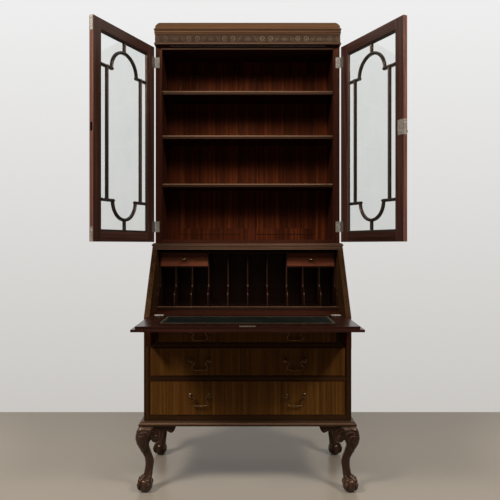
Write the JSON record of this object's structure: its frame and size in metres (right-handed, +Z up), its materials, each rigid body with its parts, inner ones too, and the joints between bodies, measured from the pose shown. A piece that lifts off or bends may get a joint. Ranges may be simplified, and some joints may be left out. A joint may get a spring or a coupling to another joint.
{
  "type": "bureau bookcase",
  "caption": "Fall-front writing bureau on claw-and-ball cabriole legs under a bookcase with astragal-glazed doors.",
  "frame": {"origin": "centre of the rest pose's footprint on the floor, in the middle of the case's width", "axes": "+X to the right along the front, +Y from the front to the back, +Z up"},
  "size_m": [1.323, 0.8443, 2.148],
  "materials": {
    "mahogany": "polished",
    "inner_wood": "satin",
    "drawer_lining": "unpolished",
    "leather": "tooled",
    "glass": "clear",
    "brass": "aged"
  },
  "bodies": {
    "case": {"base_moulding": "mahogany", "bookcase_back_frame": "inner_wood", "bookcase_back_panels": "inner_wood", "bookcase_case": "mahogany", "bureau_back": "inner_wood", "bureau_side_left": "mahogany", "bureau_side_right": "mahogany", "bureau_top": "mahogany", "case_hinges": "brass", "cornice": "mahogany", "drawer_rails": "inner_wood", "frieze": "mahogany", "knee_brackets": "mahogany", "leg_front_left": "mahogany", "leg_front_right": "mahogany", "leg_rear_left": "mahogany", "leg_rear_right": "mahogany", "pigeonhole_case": "mahogany", "pigeonhole_dividers": "mahogany", "shelf_pegs": "brass", "shelves": "mahogany", "waist_moulding": "mahogany", "writing_bed": "mahogany"},
    "door_left": {"door_left_frame": "mahogany", "door_left_glass": "glass", "door_left_bars": "mahogany", "door_left_butts": "brass", "door_left_bolt_plates": "brass"},
    "door_right": {"door_right_frame": "mahogany", "door_right_glass": "glass", "door_right_bars": "mahogany", "door_right_butts": "brass", "door_right_lock": "brass"},
    "flush_bolt_high": {"bolt_high": "brass"},
    "flush_bolt_low": {"bolt_low": "brass"},
    "lock_bolt": {"door_right_bolt": "brass"},
    "key": {"door_right_key": "brass"},
    "fall": {"fall_board": "mahogany", "fall_leather": "leather", "fall_lock": "brass", "fall_hinges": "brass"},
    "loper_left": {"loper_left": "mahogany"},
    "loper_right": {"loper_right": "mahogany"},
    "small_drawer_left": {"small_drawer_left": "mahogany"},
    "small_drawer_right": {"small_drawer_right": "mahogany"},
    "drawer_low": {"drawer_low_front": "mahogany", "drawer_low_box": "drawer_lining", "drawer_low_posts": "brass"},
    "drawer_low_bail_left": {"drawer_low_bail_left": "brass"},
    "drawer_low_bail_right": {"drawer_low_bail_right": "brass"},
    "drawer_middle": {"drawer_middle_front": "mahogany", "drawer_middle_box": "drawer_lining", "drawer_middle_posts": "brass"},
    "drawer_middle_bail_left": {"drawer_middle_bail_left": "brass"},
    "drawer_middle_bail_right": {"drawer_middle_bail_right": "brass"},
    "drawer_top": {"drawer_top_front": "mahogany", "drawer_top_box": "drawer_lining", "drawer_top_posts": "brass"},
    "drawer_top_bail_left": {"drawer_top_bail_left": "brass"},
    "drawer_top_bail_right": {"drawer_top_bail_right": "brass"}
  },
  "joints": [
    {"name": "door_left_hinge", "type": "hinge", "parent": "case", "child": "door_left", "pos_m": [-0.4455, 0.1745, 1.5625], "axis": [0, 0, -1], "range_deg": [-115, 60]},
    {"name": "door_right_hinge", "type": "hinge", "parent": "case", "child": "door_right", "pos_m": [0.4455, 0.1745, 1.5625], "axis": [0, 0, 1], "range_deg": [-116, 59]},
    {"name": "bolt_high_slide", "type": "slide", "parent": "door_left", "child": "flush_bolt_high", "axis": [0, 0, 1], "range_m": [0, 0.009]},
    {"name": "bolt_low_slide", "type": "slide", "parent": "door_left", "child": "flush_bolt_low", "axis": [0, 0, -1], "range_m": [0, 0.009]},
    {"name": "lock_bolt_slide", "type": "slide", "parent": "door_right", "child": "lock_bolt", "axis": [0.4384, -0.8988, 0], "range_m": [0, 0.008]},
    {"name": "key_turn", "type": "hinge", "parent": "door_right", "child": "key", "pos_m": [0.65135, -0.19851, 1.555], "axis": [0.8988, 0.4384, 0], "range_deg": [0, 90]},
    {"name": "fall_hinge", "type": "hinge", "parent": "case", "child": "fall", "pos_m": [0, -0.053, 0.771], "axis": [1, 0, 0], "range_deg": [-127, 0]},
    {"name": "loper_left_slide", "type": "slide", "parent": "case", "child": "loper_left", "axis": [0, -1, 0], "range_m": [-0.09, 0.16]},
    {"name": "loper_right_slide", "type": "slide", "parent": "case", "child": "loper_right", "axis": [0, -1, 0], "range_m": [-0.14, 0.11]},
    {"name": "drawer_low_slide", "type": "slide", "parent": "case", "child": "drawer_low", "axis": [0, -1, 0], "range_m": [0, 0.3]},
    {"name": "drawer_low_bail_left_swing", "type": "hinge", "parent": "drawer_low", "child": "drawer_low_bail_left", "pos_m": [-0.208, -0.084, 0.41847], "axis": [-1, 0, 0], "range_deg": [0, 85]},
    {"name": "drawer_low_bail_right_swing", "type": "hinge", "parent": "drawer_low", "child": "drawer_low_bail_right", "pos_m": [0.208, -0.084, 0.41847], "axis": [-1, 0, 0], "range_deg": [0, 85]},
    {"name": "drawer_middle_slide", "type": "slide", "parent": "case", "child": "drawer_middle", "axis": [0, -1, 0], "range_m": [0, 0.3]},
    {"name": "drawer_middle_bail_left_swing", "type": "hinge", "parent": "drawer_middle", "child": "drawer_middle_bail_left", "pos_m": [-0.208, -0.084, 0.57549], "axis": [-1, 0, 0], "range_deg": [0, 85]},
    {"name": "drawer_middle_bail_right_swing", "type": "hinge", "parent": "drawer_middle", "child": "drawer_middle_bail_right", "pos_m": [0.208, -0.084, 0.57549], "axis": [-1, 0, 0], "range_deg": [0, 85]},
    {"name": "drawer_top_slide", "type": "slide", "parent": "case", "child": "drawer_top", "axis": [0, -1, 0], "range_m": [0, 0.3]},
    {"name": "drawer_top_bail_left_swing", "type": "hinge", "parent": "drawer_top", "child": "drawer_top_bail_left", "pos_m": [-0.208, -0.084, 0.70605], "axis": [-1, 0, 0], "range_deg": [0, 85]},
    {"name": "drawer_top_bail_right_swing", "type": "hinge", "parent": "drawer_top", "child": "drawer_top_bail_right", "pos_m": [0.208, -0.084, 0.70605], "axis": [-1, 0, 0], "range_deg": [0, 85]},
    {"name": "small_drawer_left_slide", "type": "slide", "parent": "case", "child": "small_drawer_left", "axis": [0, -1, 0], "range_m": [0, 0.12]},
    {"name": "small_drawer_right_slide", "type": "slide", "parent": "case", "child": "small_drawer_right", "axis": [0, -1, 0], "range_m": [0, 0.12]}
  ],
  "couplings": [
    {"joint": "key_turn", "follows": "lock_bolt_slide", "rad_per_m": 196.35}
  ]
}
